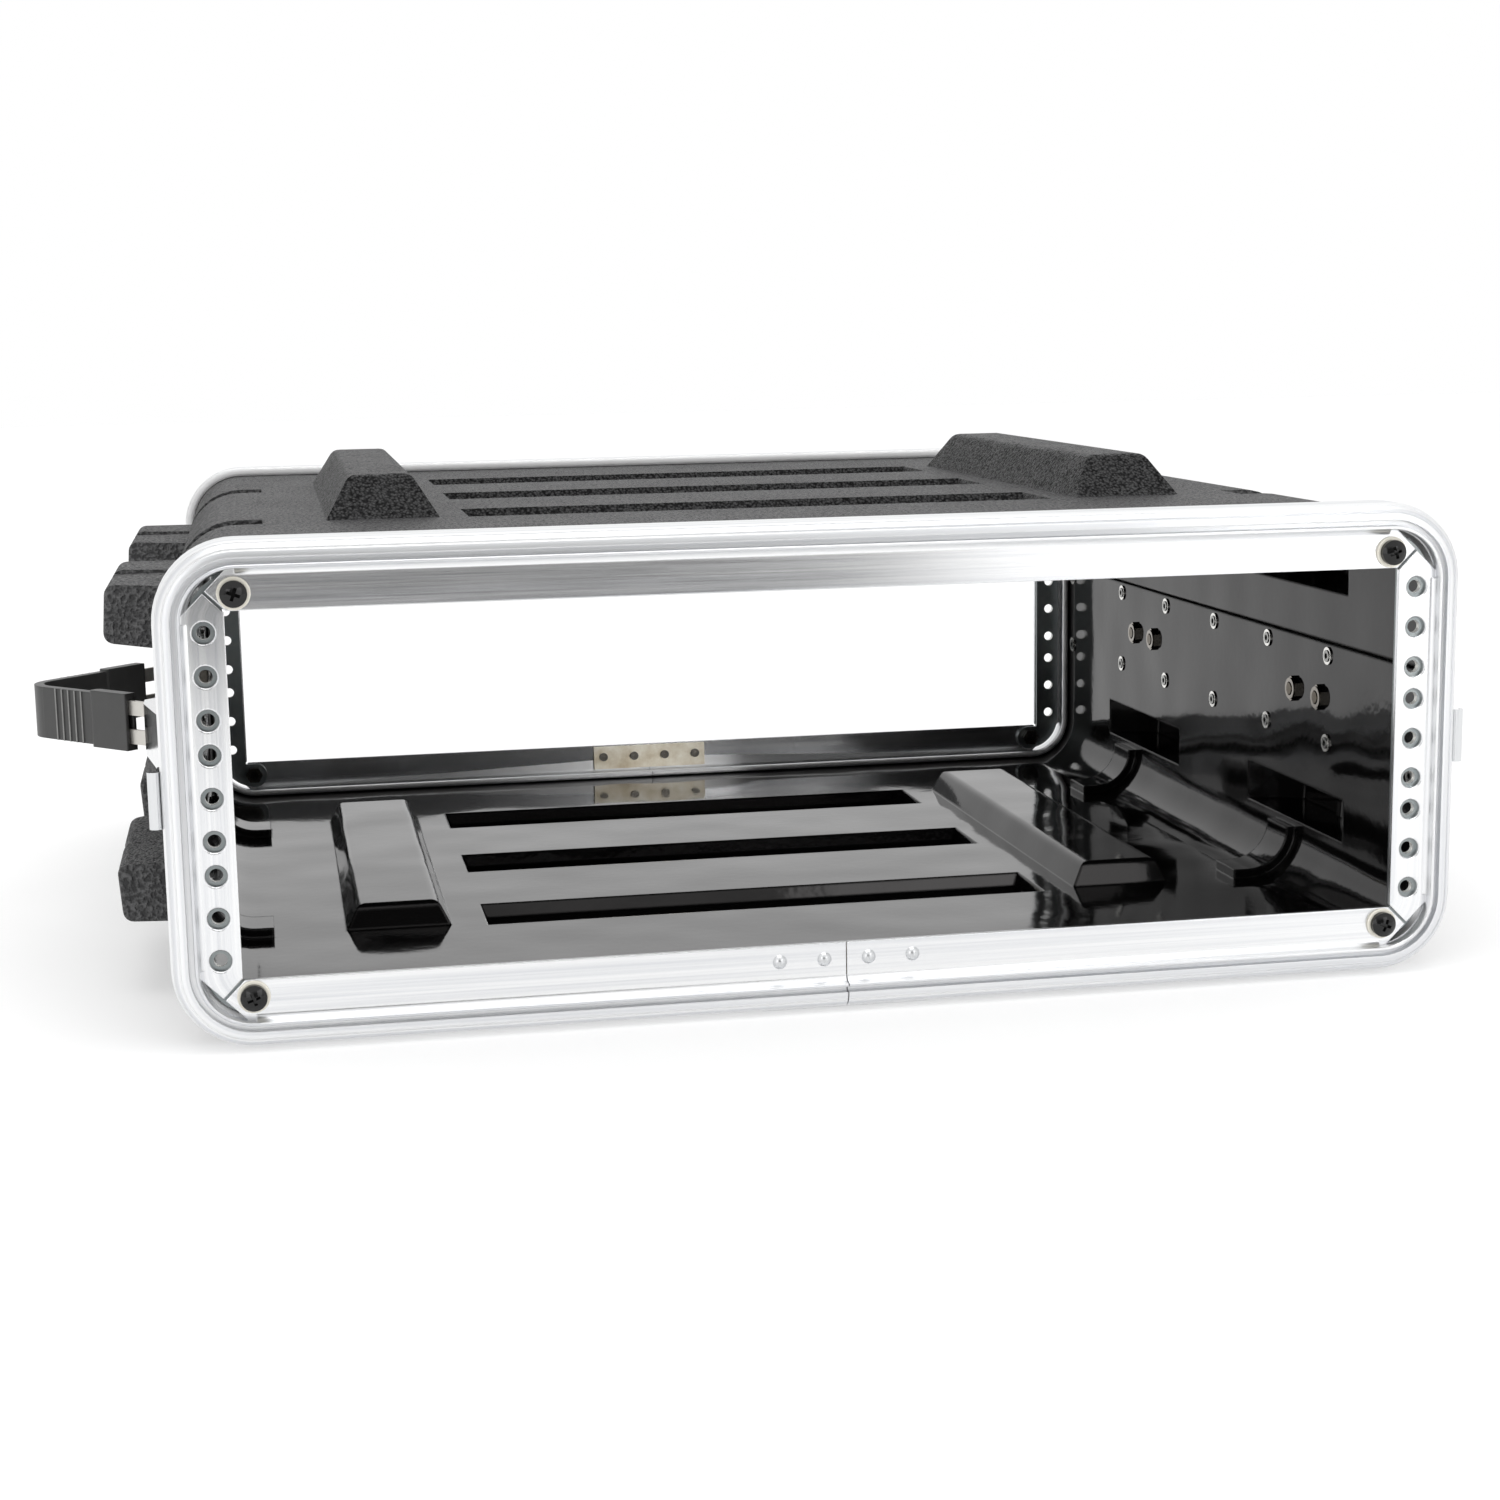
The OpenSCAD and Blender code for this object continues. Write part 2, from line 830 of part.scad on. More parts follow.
// Thin strip over the joint on the underside of the frame
module joint_strip() {
    translate([joint_x - strip_len / 2, -half_h - frame_out - strip_t, leg_edge - leg_len])
        cube([strip_len, strip_t, leg_len - leg_edge + shoulder_v]);
}

module front_joint_strip() {
    color(aluminium)
        at_front()
            joint_strip();
}

module rear_joint_strip() {
    color(aluminium)
        at_rear()
            joint_strip();
}

// Area around the opening that the right rail fills, square at the tab ends
module rail_band() {
    x = half_w + rail_out;
    y = half_h + rail_out;
    difference() {
        union() {
            polygon([
                [x, -centre_y], [x, centre_y], [centre_x, y],
                [0, y], [0, -y], [centre_x, -y]
            ]);
            for (sy = [-1, 1])
                translate([centre_x, sy * centre_y])
                    circle(corner_r - frame_out + rail_out);
        }
        square([opening_w + 2 * rail_in, opening_h + 2 * rail_in], center = true);
        translate([0, -2 * half_h])
            square([tab_x, 4 * half_h]);
    }
}

// Right rack rail: a strip with a tab at each end, seated behind the flange
module rack_rail() {
    translate([0, 0, -flange_t - rail_t])
        linear_extrude(rail_t)
            difference() {
                union() {
                    rail_band();
                    for (sy = [-1, 1])
                        translate([tab_x, sy * (half_h + rail_in + tab_r)])
                            circle(tab_r);
                }
                rack_holes()
                    circle(d = rail_hole_d);
                for (sy = [-1, 1])
                    translate([screw_x, sy * screw_y])
                        circle(d = screw_hole_d);
            }
}

module rack_rail_front_left() {
    color(zinc)
        at_front()
            mirror([1, 0, 0])
                rack_rail();
}

module rack_rail_front_right() {
    color(zinc)
        at_front()
            rack_rail();
}

module rack_rail_rear_left() {
    color(zinc)
        at_rear()
            rack_rail();
}

module rack_rail_rear_right() {
    color(zinc)
        at_rear()
            mirror([1, 0, 0])
                rack_rail();
}

// Pan head with a cross recess and a shank below the XY plane
module pan_screw(d, head_d, head_h, crown, shank) {
    big_r = (head_d * head_d / 4 + crown * crown) / (2 * crown);
    difference() {
        rotate_extrude()
            intersection() {
                translate([0, head_h - big_r])
                    circle(big_r);
                square([head_d / 2, head_h]);
            }
        for (a = [0, 90])
            rotate([0, 0, recess_turn + a])
                translate([-head_d / 4, -slot_w / 2, head_h - recess_d])
                    cube([head_d / 2, slot_w, recess_d + through]);
    }
    translate([0, 0, -shank])
        cylinder(d = d, h = shank);
}

module corner_screws() {
    four_corners()
        translate([screw_x, screw_y, washer_t])
            pan_screw(
                screw_d, screw_head_d, screw_head_h, screw_crown,
                washer_t + flange_t + rail_t + nut_h + thread_out
            );
}

module corner_screws_front() {
    color(black_steel)
        at_front()
            corner_screws();
}

module corner_screws_rear() {
    color(black_steel)
        at_rear()
            corner_screws();
}

// Washers with a rounded rim under the screw heads
module corner_washers() {
    four_corners()
        translate([screw_x, screw_y, 0])
            rotate_extrude() {
                translate([screw_hole_d / 2, 0])
                    square([(washer_d - screw_hole_d - washer_t) / 2, washer_t]);
                translate([(washer_d - washer_t) / 2, washer_t / 2])
                    circle(d = washer_t);
            }
}

module corner_washers_front() {
    color(nylon)
        at_front()
            corner_washers();
}

module corner_washers_rear() {
    color(nylon)
        at_rear()
            corner_washers();
}

// Nuts on the corner screws behind the rail tabs
module corner_nuts() {
    four_corners()
        translate([screw_x, screw_y, -flange_t - rail_t - nut_h])
            difference() {
                cylinder(d = nut_af / cos(30), h = nut_h, $fn = 6);
                translate([0, 0, -through])
                    cylinder(d = screw_d + 2 * thread_fit, h = nut_h + 2 * through);
            }
}

module corner_nuts_front() {
    color(nickel)
        at_front()
            corner_nuts();
}

module corner_nuts_rear() {
    color(nickel)
        at_rear()
            corner_nuts();
}

// Outer form of a side block on the XY plane, with its flute
module block_form() {
    difference() {
        pan([block_h, block_len], block_out, [block_taper_z, block_taper_y], block_r);
        block_flute(block_flute_r);
    }
}

// Round flute across the face of a block
module block_flute(r) {
    translate([0, 0, block_out - block_flute_d + block_flute_r])
        rotate([0, 90, 0])
            cylinder(r = r, h = 2 * block_h, center = true);
}

// Hollow of a side block
module block_hollow() {
    difference() {
        pan_inside([block_h, block_len], block_out, [block_taper_z, block_taper_y], block_r);
        block_flute(block_flute_r + wall);
    }
}

// Places of four blocks at one height on both walls, turned up or down with the height
module block_places(z) {
    both_sides()
        for (sy = [-1, 1])
            translate([side_x, sy * block_pitch / 2, axis_z + z])
                rotate([0, 90 - sign(z) * block_turn, 0])
                    children();
}

// Right corner zone that a flute crosses
module flute_zone(z, reach) {
    translate([side_x - reach, z])
        square(2 * reach);
}

// Flutes across both upper corners
module flutes(ys, z, w, d, reach) {
    for (y = ys)
        translate([0, y, 0])
            along(w)
                both_sides()
                    difference() {
                        flute_zone(z, reach);
                        outline(shell_out - d);
                    }
}

// Wall behind the flutes, standing out into the case
module flute_backs(ys, z, w, d, reach) {
    for (y = ys)
        translate([0, y, 0])
            along(w + 2 * wall)
                both_sides()
                    intersection() {
                        flute_zone(z, reach + wall);
                        difference() {
                            outline(shell_in + wall / 2);
                            outline(shell_in - d);
                        }
                    }
}

// Turns a form about the middle of the bay from the top to the floor
module upside_down() {
    translate([0, 0, axis_z])
        mirror([0, 0, 1])
            translate([0, 0, -axis_z])
                children();
}

// Places of the three cross grooves or ribs
module rib_places(z) {
    for (i = [-1, 0, 1])
        translate([0, stack_shift + i * rib_pitch, z])
            children();
}

// Places of the two bumps or recesses
module bump_places(z) {
    for (sx = [-1, 1])
        translate([sx * bump_x, stack_shift, z])
            children();
}

// Bores for the rivets and handle studs through both walls
module side_bores() {
    for (y = rivet_ys, sz = [-1, 1])
        translate([0, y, axis_z + sz * rivet_row])
            rotate([0, 90, 0])
                cylinder(d = rivet_d + 2 * rivet_fit, h = 2 * (flap_x + through), center = true);
    for (side = [0, 180])
        rotate([0, 0, side])
            at_right()
                for (a = [0, 180])
                    rotate([a, 0, 0])
                        bolt_places()
                            translate([0, 0, -grip_depth - through])
                                cylinder(d = bolt_d + 2 * screw_fit, h = grip_depth + 2 * through);
}

// Right flap with the step that carries it, in the cross-section of the case
module flap_profile() {
    polygon([
        [side_x + flap_fit, -flap_drop],
        [flap_x, -flap_drop],
        [flap_x, seam_h + seam_gap + jog_h],
        [side_x, seam_h + seam_gap + 2 * jog_h],
        [side_x - wall / 2, seam_h + seam_gap + 2 * jog_h],
        [side_x - wall / 2, seam_h + seam_gap],
        [side_x + flap_fit, seam_h + seam_gap]
    ]);
}

module upper_shell() {
    color(plastic)
        difference() {
            union() {
                along(shell_len)
                    difference() {
                        outline(shell_out);
                        outline(shell_in);
                        translate([-2 * side_x, -2 * half_h])
                            square([4 * side_x, 2 * half_h + seam_h + seam_gap]);
                    }
                along(flap_len)
                    both_sides()
                        flap_profile();
                bump_places(top_z)
                    pan([bump_w, bump_len], bump_h, [bump_taper, bump_end_taper], bump_r);
                rib_places(top_z)
                    mirror([0, 0, 1])
                        pan_outside([rib_len, rib_w], groove_d, [rib_taper, rib_taper], groove_r);
                block_places(upper_block_z)
                    block_form();
                flute_backs(flute_ys, flute_z, flute_w, flute_d, flute_reach);
            }
            bump_places(top_z)
                pan_inside([bump_w, bump_len], bump_h, [bump_taper, bump_end_taper], bump_r);
            rib_places(top_z)
                mirror([0, 0, 1])
                    pan([rib_len, rib_w], groove_d, [rib_taper, rib_taper], groove_r);
            block_places(upper_block_z)
                block_hollow();
            flutes(flute_ys, flute_z, flute_w, flute_d, flute_reach);
            side_bores();
        }
}

module lower_shell() {
    color(plastic)
        difference() {
            union() {
                along(shell_len)
                    difference() {
                        outline(shell_out);
                        outline(shell_in);
                        translate([-2 * side_x, seam_h])
                            square([4 * side_x, 2 * half_h]);
                    }
                bump_places(floor_z)
                    pan_outside(
                        [recess_w, recess_l], recess_h, [recess_taper, recess_end_taper], groove_r
                    );
                rib_places(floor_z)
                    mirror([0, 0, 1])
                        pan([rib_len, rib_w], rib_drop, [rib_taper, rib_taper], rib_r);
                block_places(-lower_block_z)
                    block_form();
                upside_down()
                    flute_backs(
                        foot_flute_ys, foot_flute_z - wall, foot_flute_w, foot_flute_d, foot_flute_reach
                    );
            }
            bump_places(floor_z)
                pan(
                    [recess_w, recess_l], recess_h, [recess_taper, recess_end_taper], groove_r
                );
            rib_places(floor_z)
                mirror([0, 0, 1])
                    pan_inside([rib_len, rib_w], rib_drop, [rib_taper, rib_taper], rib_r);
            block_places(-lower_block_z)
                block_hollow();
            upside_down()
                flutes(foot_flute_ys, foot_flute_z, foot_flute_w, foot_flute_d, foot_flute_reach);
            side_bores();
        }
}

// Places of the rivets in the right wall, pointing outward
module rivet_places() {
    for (y = rivet_ys, sz = [-1, 1])
        translate([flap_x, y, axis_z + sz * rivet_row])
            rotate([0, 90, 0])
                children();
}

// Rivets through the flap and the lower shell, set over the inner washers
module shell_rivets() {
    rivet_places() {
        dome(rivet_head_d, rivet_head_h);
        translate([0, 0, -grip_depth - rivet_washer_t])
            difference() {
                cylinder(d = rivet_d, h = grip_depth + rivet_washer_t);
                translate([0, 0, -through])
                    cylinder(d = rivet_bore_d, h = rivet_bore_h + through);
            }
        translate([0, 0, -grip_depth - rivet_washer_t - rivet_tail_h])
            difference() {
                cylinder(d = rivet_tail_d, h = rivet_tail_h);
                translate([0, 0, -through])
                    cylinder(d = rivet_bore_d, h = rivet_tail_h + 2 * through);
            }
    }
}

module shell_rivets_left() {
    color(aluminium)
        mirror([1, 0, 0])
            shell_rivets();
}

module shell_rivets_right() {
    color(aluminium)
        shell_rivets();
}

// Washers under the set rivet ends
module rivet_washers() {
    rivet_places()
        translate([0, 0, -grip_depth - rivet_washer_t])
            difference() {
                cylinder(d = rivet_washer_d, h = rivet_washer_t);
                translate([0, 0, -through])
                    cylinder(d = rivet_d + 2 * rivet_fit, h = rivet_washer_t + 2 * through);
            }
}

module rivet_washers_left() {
    color(nickel)
        mirror([1, 0, 0])
            rivet_washers();
}

module rivet_washers_right() {
    color(nickel)
        rivet_washers();
}

// Plan of a handle stands on the right flap, X outward and Y to the rear
module at_right() {
    translate([flap_x, -handle_shift, axis_z])
        children();
}

// The same turned round to the left flap
module at_left() {
    rotate([0, 0, 180])
        at_right()
            children();
}

// Line of the rear strap arm, starting at the grip end
module arm_line() {
    translate([grip_lift, grip_span / 2])
        rotate(arm_a - 90)
            children();
}

// Area inside one face of the strap, from a place along its arms to the bend
module strap_side(face, start) {
    out = [cos(arm_a), sin(arm_a)];
    foot = [
        grip_lift + start * sin(arm_a) + face * out[0],
        grip_span / 2 - start * cos(arm_a) + face * out[1]
    ];
    top = [bend_x + (bend_r + face) * out[0], (bend_r + face) * out[1]];
    polygon([foot, top, [top[0], -top[1]], [foot[0], -foot[1]]]);
    translate([bend_x, 0])
        circle(bend_r + face - tangent_in);
}

// Plan of the strap between its boots
module strap_plan() {
    difference() {
        strap_side(strap_t / 2, boot_len / 4);
        strap_side(-strap_t / 2, -boot_len);
    }
}

// Plan of the raised lines on the rear arm
module line_plan() {
    arm_line()
        for (i = [0 : line_count - 1])
            translate([line_start * arm_len + line_pitch * i, 0])
                square([ridge_line_w, strap_t / 2 + ridge_line_h]);
}

// Plan of the rear boot, rounded at its inner end
module boot_plan() {
    arm_line() {
        translate([0, -boot_t / 2])
            square([boot_len - boot_r, boot_t]);
        translate([0, boot_r - boot_t / 2])
            square([boot_len, boot_t - 2 * boot_r]);
        for (sy = [-1, 1])
            translate([boot_len - boot_r, sy * (boot_t / 2 - boot_r)])
                circle(boot_r);
    }
}

// Plan of the rear steel link: flat in the bracket, then along the strap arm
module link_plan(grow) {
    arm_line()
        translate([-link_bend, -link_t / 2 - grow])
            square([link_bend + boot_len / 2 + grow, link_t + 2 * grow]);
    translate([link_rise, link_bend_y])
        circle(link_t / 2 + grow);
    translate([link_rise - link_t / 2 - grow, link_bend_y])
        square([link_t + 2 * grow, link_end_y - link_bend_y + grow]);
}

// Strap bent outward between its two boots
module handle_grip() {
    difference() {
        union() {
            linear_extrude(strap_w, center = true)
                strap_plan();
            for (a = [0, 180])
                rotate([a, 0, 0]) {
                    linear_extrude(strap_w, center = true)
                        line_plan();
                    linear_extrude(boot_w, center = true)
                        boot_plan();
                }
        }
        for (a = [0, 180])
            rotate([a, 0, 0])
                linear_extrude(link_w + 2 * link_fit, center = true)
                    link_plan(link_fit);
    }
}

module handle_grip_left() {
    color(rubber)
        at_left()
            handle_grip();
}

module handle_grip_right() {
    color(rubber)
        at_right()
            handle_grip();
}

// Rear steel link with the window that leaves two prongs
module handle_link() {
    difference() {
        linear_extrude(link_w, center = true)
            link_plan(0);
        translate([0, grip_span / 2 - window_in, -link_window / 2])
            cube([2 * grip_lift, link_end_y - grip_span / 2, link_window]);
    }
}

module handle_link_left_front() {
    color(nickel)
        at_left()
            handle_link();
}

module handle_link_left_rear() {
    color(nickel)
        at_left()
            mirror([0, 1, 0])
                handle_link();
}

module handle_link_right_front() {
    color(nickel)
        at_right()
            mirror([0, 1, 0])
                handle_link();
}

module handle_link_right_rear() {
    color(nickel)
        at_right()
            handle_link();
}

// Places of the two studs in the rear bracket, pointing outward
module bolt_places() {
    for (sb = [-1, 1])
        translate([0, (bolt_span + sb * bolt_pitch) / 2, 0])
            rotate([0, 90, 0])
                children();
}

// Rear bracket: a ramp over the studs with a mouth for the link
module handle_bracket() {
    half = bracket_w / 2;
    difference() {
        intersection() {
            linear_extrude(bracket_w, center = true)
                polygon([
                    [0, bracket_end], [bracket_rise, bracket_end],
                    [bracket_rise, bracket_end + bracket_flat], [bracket_low, bracket_tip],
                    [0, bracket_tip]
                ]);
            translate([0, bracket_tip, 0])
                rotate([90, 0, 0])
                    linear_extrude(bracket_tip - bracket_end)
                        polygon([
                            [0, -half], [bracket_rise, bracket_draft - half],
                            [bracket_rise, half - bracket_draft], [0, half]
                        ]);
        }
        translate([mouth_low, bracket_end - through, -link_w / 2 - mouth_gap])
            cube([mouth_top - mouth_low, link_in + mouth_gap + through, link_w + 2 * mouth_gap]);
        bolt_places()
            translate([0, 0, -through])
                cylinder(d = bolt_d + 2 * thread_fit, h = stud_in + through);
    }
}

module handle_bracket_left_front() {
    color(chrome)
        at_left()
            handle_bracket();
}

module handle_bracket_left_rear() {
    color(chrome)
        at_left()
            mirror([0, 1, 0])
                handle_bracket();
}

module handle_bracket_right_front() {
    color(chrome)
        at_right()
            mirror([0, 1, 0])
                handle_bracket();
}

module handle_bracket_right_rear() {
    color(chrome)
        at_right()
            handle_bracket();
}

// Studs of both brackets on one side
module handle_bolts() {
    for (a = [0, 180])
        rotate([a, 0, 0])
            bolt_places()
                translate([0, 0, stud_in - stud_len]) {
                    cylinder(d1 = bolt_d - 2 * stud_chamfer, d2 = bolt_d, h = stud_chamfer);
                    translate([0, 0, stud_chamfer])
                        cylinder(d = bolt_d, h = stud_len - stud_chamfer);
                }
}

module handle_bolts_left() {
    color(nickel)
        at_left()
            handle_bolts();
}

module handle_bolts_right() {
    color(nickel)
        at_right()
            handle_bolts();
}

// Lock nuts with a round collar on the inner wall
module handle_nuts() {
    for (a = [0, 180])
        rotate([a, 0, 0])
            bolt_places()
                translate([0, 0, -grip_depth - lock_nut_h])
                    difference() {
                        union() {
                            cylinder(d = lock_nut_af / cos(30), h = lock_nut_h, $fn = 6);
                            translate([0, 0, -lock_collar_h])
                                cylinder(d = lock_nut_af - 2 * collar_in, h = lock_collar_h);
                        }
                        translate([0, 0, -lock_collar_h - through])
                            cylinder(
                                d = bolt_d + 2 * thread_fit,
                                h = lock_nut_h + lock_collar_h + 2 * through
                            );
                    }
}

module handle_nuts_left() {
    color(nickel)
        at_left()
            handle_nuts();
}

module handle_nuts_right() {
    color(nickel)
        at_right()
            handle_nuts();
}

// Right keeper: a plate on the frame leg with its front edge curled outward
module latch_keeper() {
    difference() {
        translate([half_w + frame_out, 0, 0])
            rotate([90, 0, 0])
                linear_extrude(keeper_h, center = true) {
                    translate([0, leg_edge - leg_len])
                        square([keeper_t, leg_len - leg_edge + shoulder_v]);
                    translate([curl_r, shoulder_v])
                        difference() {
                            circle(curl_r);
                            circle(curl_r - keeper_t);
                            translate([-curl_r, -curl_r])
                                square([2 * curl_r, curl_r]);
                        }
                    translate([2 * curl_r - keeper_t, shoulder_v - curl_r / 2])
                        square([keeper_t, curl_r / 2]);
                }
        keeper_places()
            translate([0, 0, -through])
                cylinder(d = keeper_rivet_d + 2 * rivet_fit, h = keeper_t + 2 * through);
    }
}

module latch_keeper_front_left() {
    color(chrome)
        at_front()
            mirror([1, 0, 0])
                latch_keeper();
}

module latch_keeper_front_right() {
    color(chrome)
        at_front()
            latch_keeper();
}

module latch_keeper_rear_left() {
    color(chrome)
        at_rear()
            latch_keeper();
}

module latch_keeper_rear_right() {
    color(chrome)
        at_rear()
            mirror([1, 0, 0])
                latch_keeper();
}

// Rivets that hold both keepers of one frame
module keeper_rivets() {
    both_sides()
        keeper_places() {
            translate([0, 0, keeper_t])
                dome(keeper_head_d, keeper_head_h);
            translate([0, 0, keeper_skin + rivet_fit - leg_t])
                cylinder(d = keeper_rivet_d, h = leg_t - keeper_skin - rivet_fit + keeper_t);
        }
}

module keeper_rivets_front() {
    color(chrome)
        at_front()
            keeper_rivets();
}

module keeper_rivets_rear() {
    color(chrome)
        at_rear()
            keeper_rivets();
}

upper_shell();
lower_shell();
front_frame();
rear_frame();
front_splice_plate();
rear_splice_plate();
front_splice_rivets();
rear_splice_rivets();
front_joint_strip();
rear_joint_strip();
rack_rail_front_left();
rack_rail_front_right();
rack_rail_rear_left();
rack_rail_rear_right();
corner_screws_front();
corner_screws_rear();
corner_washers_front();
corner_washers_rear();
corner_nuts_front();
corner_nuts_rear();
shell_rivets_left();
shell_rivets_right();
rivet_washers_left();
rivet_washers_right();
handle_grip_left();
handle_grip_right();
handle_link_left_front();
handle_link_left_rear();
handle_link_right_front();
handle_link_right_rear();
handle_bracket_left_front();
handle_bracket_left_rear();
handle_bracket_right_front();
handle_bracket_right_rear();
handle_bolts_left();
handle_bolts_right();
handle_nuts_left();
handle_nuts_right();
latch_keeper_front_left();
latch_keeper_front_right();
latch_keeper_rear_left();
latch_keeper_rear_right();
keeper_rivets_front();
keeper_rivets_rear();
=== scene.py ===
import math

import bmesh
import bpy
from mathutils import Matrix, Vector

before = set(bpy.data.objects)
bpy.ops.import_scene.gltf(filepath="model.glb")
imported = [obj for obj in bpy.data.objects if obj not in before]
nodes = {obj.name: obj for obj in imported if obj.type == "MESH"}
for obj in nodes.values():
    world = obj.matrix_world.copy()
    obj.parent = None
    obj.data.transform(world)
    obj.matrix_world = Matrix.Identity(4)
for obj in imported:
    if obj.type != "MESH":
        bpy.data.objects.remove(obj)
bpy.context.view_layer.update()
scene = bpy.context.scene


# Outside of the two shells: moulded black plastic, held by the frames and by side rivets.
# Its pebbled grain turns leathery on the upright faces, and the slopes get painted shade,
# darker in colour and weaker in reflection.
def finish(name, colour, metallic, roughness):
    """A new material with plain values on its shader, and the coordinates of the piece."""
    material = bpy.data.materials.new(name)
    material.use_nodes = True
    shader = material.node_tree.nodes["Principled BSDF"]
    shader.inputs["Base Color"].default_value = (*colour, 1)
    shader.inputs["Metallic"].default_value = metallic
    shader.inputs["Roughness"].default_value = roughness
    place = material.node_tree.nodes.new("ShaderNodeTexCoord").outputs["Object"]
    return material, shader.inputs, place


def wire(material, kind, sockets, **settings):
    """A shader node with its settings, and each named socket linked or given a value."""
    node = material.node_tree.nodes.new("ShaderNode" + kind)
    for key, value in settings.items():
        setattr(node, key, value)
    for key, value in sockets.items():
        if isinstance(value, bpy.types.NodeSocket):
            material.node_tree.links.new(value, node.inputs[key])
        else:
            node.inputs[key].default_value = value
    return node.outputs


def link(material, source, target):
    """A link from a node's output to a socket."""
    material.node_tree.links.new(source, target)


def spread(material, value, low, high, start=0.0, end=1.0):
    """The value from start to end, turned into low to high."""
    sockets = {"Value": value, "From Min": start, "From Max": end, "To Min": low, "To Max": high}
    return wire(material, "MapRange", sockets)["Result"]


def noise(material, place, scale, detail=2.0, roughness=0.5):
    """Clouds with so many to the metre."""
    sockets = {"Vector": place, "Scale": scale, "Detail": detail, "Roughness": roughness}
    return wire(material, "TexNoise", sockets)["Fac"]


def math_node(material, operation, a, b=0.0):
    """One sum of two values, or of one."""
    return wire(material, "Math", {0: a, 1: b}, operation=operation)["Value"]


def blend(material, factor, first, second):
    """A colour between two others."""
    colours = {"Color1": (*first, 1), "Color2": (*second, 1)}
    return wire(material, "MixRGB", {"Fac": factor, **colours})["Color"]


def round_edges(material, radius):
    """A normal that rounds the edges of a piece."""
    return wire(material, "Bevel", {"Radius": radius}, samples=6)["Normal"]


PEBBLES, LEATHER, SPECKS, WEAR = 850.0, 560.0, 500.0, 35.0
PEBBLE_DEPTH, LEATHER_DEPTH = 0.0009, 0.0022
SHELL_EDGE = 0.002

pebbled_plastic, plastic, place = finish("pebbled_plastic", (0.045, 0.045, 0.046), 0.0, 0.5)
pebble = wire(
    pebbled_plastic, "TexVoronoi", {"Vector": place, "Scale": PEBBLES, "Smoothness": 0.35},
    feature="SMOOTH_F1",
)["Distance"]
leather = noise(pebbled_plastic, place, LEATHER, 1.0)
facing = wire(pebbled_plastic, "NewGeometry", {})["Normal"]
rise = wire(pebbled_plastic, "SeparateXYZ", {"Vector": facing})["Z"]
rise = math_node(pebbled_plastic, "ABSOLUTE", rise)
steep = spread(pebbled_plastic, rise, 1.0, 0.0, 0.05, 0.35)
# Painted shade: faces between upright and level are darkened, in colour and in reflection.
flat = spread(pebbled_plastic, rise, 0.55, 1.0, 0.75, 0.97)
painted_slope_shade = wire(pebbled_plastic, "Mix", {"Factor": steep, "A": flat, "B": 1.0})["Result"]
ridge = spread(pebbled_plastic, leather, 0.3, 0.68, 0.36, 0.66)
speck = noise(pebbled_plastic, place, SPECKS, 4.0, 0.75)
fine = wire(pebbled_plastic, "Mix", {
    "Factor": 0.4, "A": spread(pebbled_plastic, pebble, 1.0, 0.0, 0.15, 0.7),
    "B": spread(pebbled_plastic, speck, 0.0, 1.0, 0.35, 0.65),
})["Result"]
grain = wire(pebbled_plastic, "Mix", {"Factor": steep, "A": fine, "B": ridge})["Result"]
worn = noise(pebbled_plastic, place, WEAR, 4.0)
tone = blend(pebbled_plastic, grain, (0.014, 0.014, 0.0145), (0.078, 0.078, 0.080))
tone = wire(pebbled_plastic, "VectorMath", {0: tone, "Scale": painted_slope_shade}, operation="SCALE")["Vector"]
link(pebbled_plastic, tone, plastic["Base Color"])
link(pebbled_plastic, spread(pebbled_plastic, worn, 0.42, 0.58), plastic["Roughness"])
reflection_with_painted_shade = spread(pebbled_plastic, grain, 0.05, 1.0, 0.2, 0.8)
reflection_with_painted_shade = math_node(pebbled_plastic, "MULTIPLY", reflection_with_painted_shade, painted_slope_shade)
link(pebbled_plastic, reflection_with_painted_shade, plastic["Specular IOR Level"])
depth = spread(pebbled_plastic, steep, PEBBLE_DEPTH, LEATHER_DEPTH)
bump = wire(pebbled_plastic, "Bump", {
    "Height": grain, "Strength": 1.0, "Distance": depth,
    "Normal": round_edges(pebbled_plastic, SHELL_EDGE),
})["Normal"]
link(pebbled_plastic, bump, plastic["Normal"])


# Inside of the two shells: the smooth side of the same plastic, gloss black with a faint
# ripple. The inner faces are found by walking from the middle of the floor or the top, and
# the walk ends at the shell ends, at the seam and at the bores in the side walls.
RIPPLES, PEEL, DULL_SPOTS = 16.0, 240.0, 14.0
INNER_EDGE = 0.0016
SHELL_END = 0.2339
INNER_WALL = (0.2423, 0.2462)
RIVET_BAND = (0.070, 0.1215)

gloss_plastic, gloss, place = finish("gloss_plastic", (0.005, 0.0048, 0.005), 0.0, 0.07)
sway = noise(gloss_plastic, place, RIPPLES, 1.0)
peel = noise(gloss_plastic, place, PEEL, 1.0)
dull = noise(gloss_plastic, place, DULL_SPOTS, 3.0)
link(gloss_plastic, spread(gloss_plastic, dull, 0.04, 0.1), gloss["Roughness"])
gloss["Specular Tint"].default_value = (1.0, 0.97, 0.965, 1)
gloss["IOR"].default_value = 1.46
# Painted shade on the side walls: faces that look sideways get a weaker reflection.
facing = wire(gloss_plastic, "NewGeometry", {})["Normal"]
sideways = wire(gloss_plastic, "SeparateXYZ", {"Vector": facing})["X"]
sideways = math_node(gloss_plastic, "ABSOLUTE", sideways)
reflection_with_painted_shade = spread(gloss_plastic, sideways, 0.5, 0.26, 0.5, 0.9)
link(gloss_plastic, reflection_with_painted_shade, gloss["Specular IOR Level"])
bump = wire(gloss_plastic, "Bump", {
    "Height": sway, "Strength": 0.35, "Distance": 0.004,
    "Normal": round_edges(gloss_plastic, INNER_EDGE),
})["Normal"]
bump = wire(gloss_plastic, "Bump", {
    "Height": peel, "Strength": 0.08, "Distance": 0.0003, "Normal": bump,
})["Normal"]
link(gloss_plastic, bump, gloss["Normal"])


